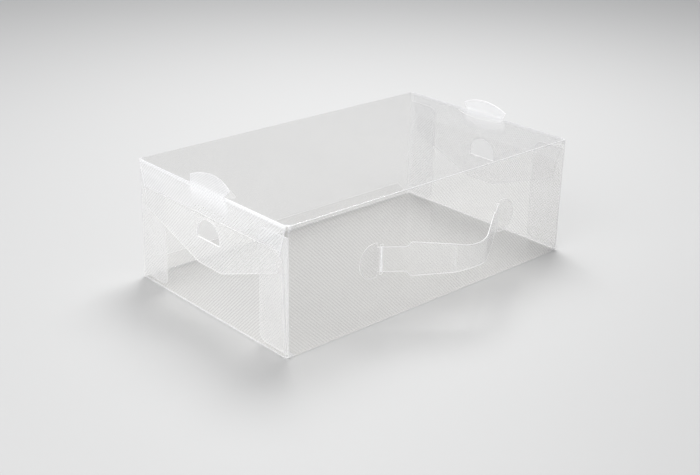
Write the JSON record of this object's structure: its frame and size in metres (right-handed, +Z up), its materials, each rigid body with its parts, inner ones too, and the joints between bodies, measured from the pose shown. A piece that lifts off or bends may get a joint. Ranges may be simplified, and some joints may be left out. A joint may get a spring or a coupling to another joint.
{
  "type": "shoe box",
  "caption": "Fold-up see-through plastic shoe box with folding end flaps, stand-up lid tongues and a carry strap.",
  "frame": {"origin": "middle of the rectangle that the box stands on, on its underside", "axes": "+Z up, +X along the length towards the right end, the strap is on the -Y side"},
  "size_m": [0.3, 0.2191, 0.1119],
  "materials": {
    "wall_sheet": "clear polypropylene sheet with fine diagonal stripes pressed into it",
    "flap_sheet": "the same striped sheet, seen in several layers",
    "strap_sheet": "plain milky polypropylene sheet"
  },
  "bodies": {
    "sleeve": {"bottom_panel": "wall_sheet", "front_panel": "wall_sheet", "back_panel": "wall_sheet", "top_panel": "wall_sheet", "glue_flap": "wall_sheet"},
    "left_end_panel": {"left_end_panel": "flap_sheet"},
    "left_lid_flap": {"left_lid_flap": "flap_sheet"},
    "left_front_dust_flap": {"left_front_dust_flap": "flap_sheet"},
    "left_back_dust_flap": {"left_back_dust_flap": "flap_sheet"},
    "right_end_panel": {"right_end_panel": "flap_sheet"},
    "right_lid_flap": {"right_lid_flap": "flap_sheet"},
    "right_front_dust_flap": {"right_front_dust_flap": "flap_sheet"},
    "right_back_dust_flap": {"right_back_dust_flap": "flap_sheet"},
    "strap_grip": {"strap_grip": "strap_sheet"},
    "strap_left_arm": {"strap_left_arm": "strap_sheet"},
    "strap_left_head": {"strap_left_head": "strap_sheet"},
    "strap_right_arm": {"strap_right_arm": "strap_sheet"},
    "strap_right_head": {"strap_right_head": "strap_sheet"}
  },
  "joints": [
    {"name": "left_end_panel_hinge", "type": "hinge", "parent": "sleeve", "child": "left_end_panel", "pos_m": [-0.1494, 0, 0.0006], "axis": [0, -1, 0], "range_deg": [0, 90]},
    {"name": "left_lid_flap_hinge", "type": "hinge", "parent": "sleeve", "child": "left_lid_flap", "pos_m": [-0.14855, 0, 0.0994], "axis": [0, 1, 0], "range_deg": [0, 50]},
    {"name": "left_front_dust_flap_hinge", "type": "hinge", "parent": "sleeve", "child": "left_front_dust_flap", "pos_m": [-0.1477, -0.0894, 0.047], "axis": [0, 0, -1], "range_deg": [0, 80]},
    {"name": "left_back_dust_flap_hinge", "type": "hinge", "parent": "sleeve", "child": "left_back_dust_flap", "pos_m": [-0.1477, 0.0894, 0.047], "axis": [0, 0, 1], "range_deg": [0, 80]},
    {"name": "right_end_panel_hinge", "type": "hinge", "parent": "sleeve", "child": "right_end_panel", "pos_m": [0.1494, 0, 0.0006], "axis": [0, 1, 0], "range_deg": [0, 90]},
    {"name": "right_lid_flap_hinge", "type": "hinge", "parent": "sleeve", "child": "right_lid_flap", "pos_m": [0.14855, 0, 0.0994], "axis": [0, -1, 0], "range_deg": [0, 50]},
    {"name": "right_front_dust_flap_hinge", "type": "hinge", "parent": "sleeve", "child": "right_front_dust_flap", "pos_m": [0.1477, -0.0894, 0.047], "axis": [0, 0, 1], "range_deg": [0, 80]},
    {"name": "right_back_dust_flap_hinge", "type": "hinge", "parent": "sleeve", "child": "right_back_dust_flap", "pos_m": [0.1477, 0.0894, 0.047], "axis": [0, 0, -1], "range_deg": [0, 80]},
    {"name": "strap_press", "type": "slide", "parent": "sleeve", "child": "strap_grip", "axis": [0, 1, 0], "range_m": [0, 0.009]},
    {"name": "strap_left_arm_hinge", "type": "hinge", "parent": "strap_grip", "child": "strap_left_arm", "pos_m": [-0.017, -0.12305, 0.051], "axis": [0, 0, 1], "range_deg": [0, 8.29]},
    {"name": "strap_left_head_hinge", "type": "hinge", "parent": "strap_left_arm", "child": "strap_left_head", "pos_m": [-0.06158, -0.08853, 0.051], "axis": [0, 0, -1], "range_deg": [0, 8.29]},
    {"name": "strap_right_arm_hinge", "type": "hinge", "parent": "strap_grip", "child": "strap_right_arm", "pos_m": [0.019, -0.12305, 0.051], "axis": [0, 0, -1], "range_deg": [0, 7.87]},
    {"name": "strap_right_head_hinge", "type": "hinge", "parent": "strap_right_arm", "child": "strap_right_head", "pos_m": [0.06915, -0.08862, 0.051], "axis": [0, 0, 1], "range_deg": [0, 7.87]}
  ],
  "couplings": [
    {"joint": "left_lid_flap_hinge", "follows": "left_end_panel_hinge", "ratio": 0.55},
    {"joint": "right_lid_flap_hinge", "follows": "right_end_panel_hinge", "ratio": 0.55},
    {"joint": "strap_left_arm_hinge", "follows": "strap_press", "rad_per_m": 16.064},
    {"joint": "strap_left_head_hinge", "follows": "strap_press", "rad_per_m": 16.064},
    {"joint": "strap_right_arm_hinge", "follows": "strap_press", "rad_per_m": 15.245},
    {"joint": "strap_right_head_hinge", "follows": "strap_press", "rad_per_m": 15.245}
  ]
}
